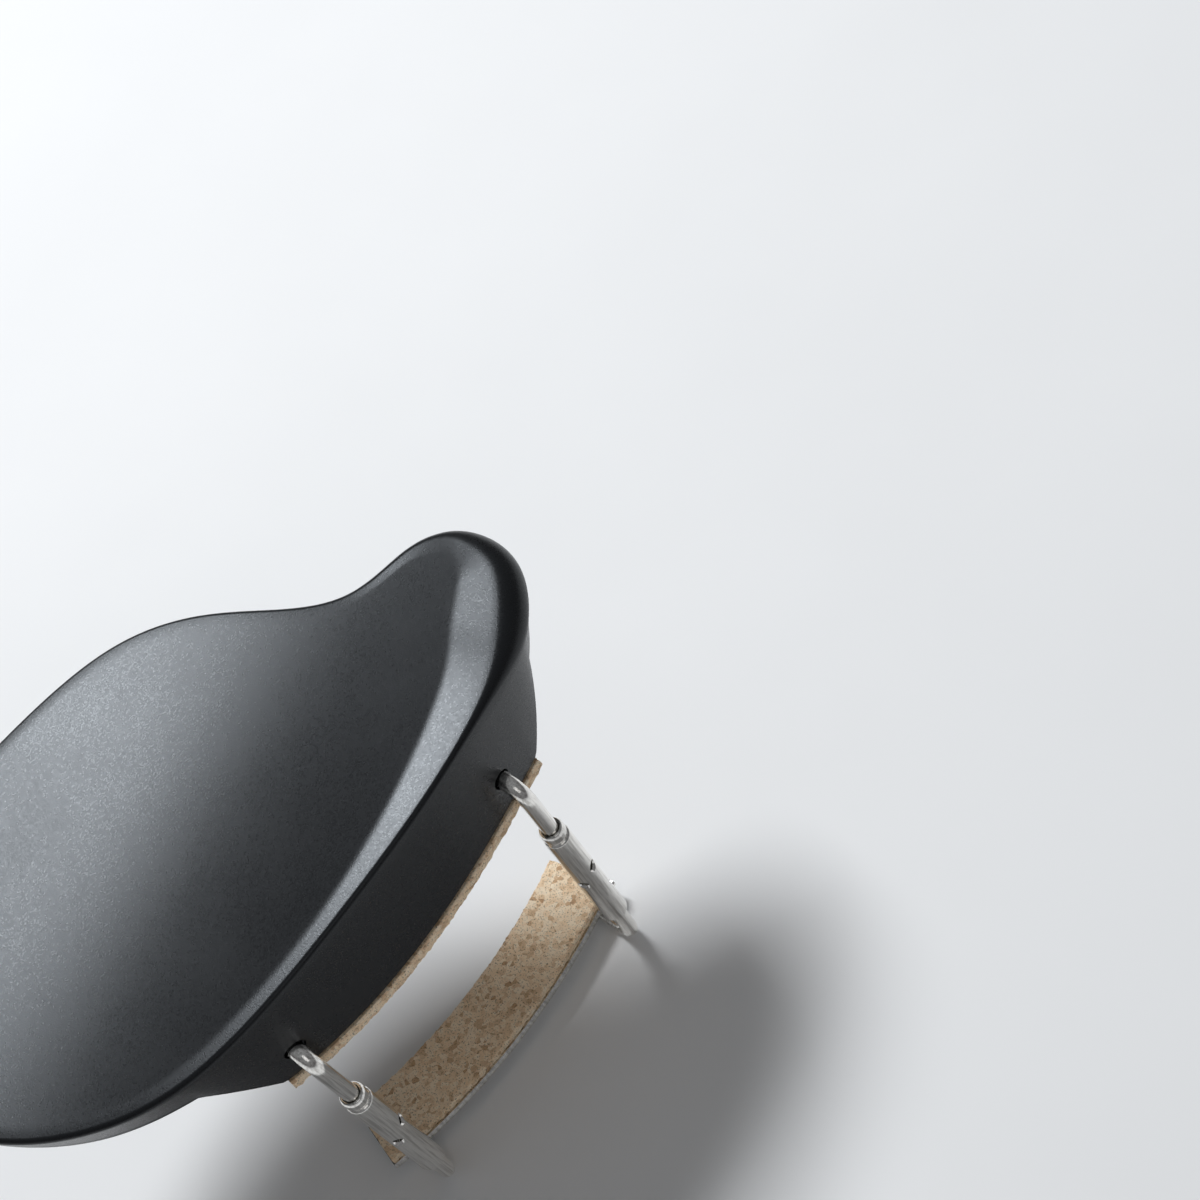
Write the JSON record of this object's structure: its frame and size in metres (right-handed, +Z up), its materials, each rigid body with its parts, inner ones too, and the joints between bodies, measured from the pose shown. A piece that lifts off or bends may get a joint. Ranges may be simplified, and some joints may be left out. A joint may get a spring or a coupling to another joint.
{
  "type": "violin chin rest",
  "caption": "Side-mounted moulded chin rest with a dished plate, a raised rim and lobe, a cork-lined foot and a turnbuckle clamp that grips an instrument's edge.",
  "frame": {"origin": "point on the flat underside of the foot's cork, half-way along the foot, where it rests on the edge of the instrument's top", "axes": "+X along the instrument from its end button to its neck, +Y across the lower bout away from the tailpiece, +Z up out of the instrument's top"},
  "size_m": [0.0779, 0.0957, 0.0652],
  "materials": {
    "moulded_plastic": "satin black moulded plastic with a fine sandy texture",
    "cork": "agglomerated cork",
    "nickel": "bright nickel plate",
    "brass": "turned brass"
  },
  "bodies": {
    "chin_rest": {"chin_rest_body": "moulded_plastic", "foot_cork": "cork", "insert_near": "brass", "insert_far": "brass", "upper_leg_near": "nickel", "upper_leg_far": "nickel"},
    "barrel_near": {"barrel_near": "nickel"},
    "barrel_far": {"barrel_far": "nickel"},
    "bracket": {"lower_leg_near": "nickel", "lower_leg_far": "nickel", "foot_plate": "nickel", "foot_plate_cork": "cork"}
  },
  "joints": [
    {"name": "bracket_slide", "type": "slide", "parent": "chin_rest", "child": "bracket", "axis": [0, 0, 1], "range_m": [-0.005, 0.003]},
    {"name": "barrel_near_spin", "type": "hinge", "parent": "chin_rest", "child": "barrel_near", "pos_m": [-0.01265, -0.01949, -0.02], "axis": [0, 0, 1], "range_deg": [-1080, 1800]},
    {"name": "barrel_far_spin", "type": "hinge", "parent": "chin_rest", "child": "barrel_far", "pos_m": [-0.00095, 0.02189, -0.02], "axis": [0, 0, 1], "range_deg": [-1080, 1800]}
  ],
  "couplings": [
    {"joint": "barrel_near_spin", "follows": "bracket_slide", "rad_per_m": -6283.2},
    {"joint": "barrel_far_spin", "follows": "bracket_slide", "rad_per_m": -6283.2}
  ]
}
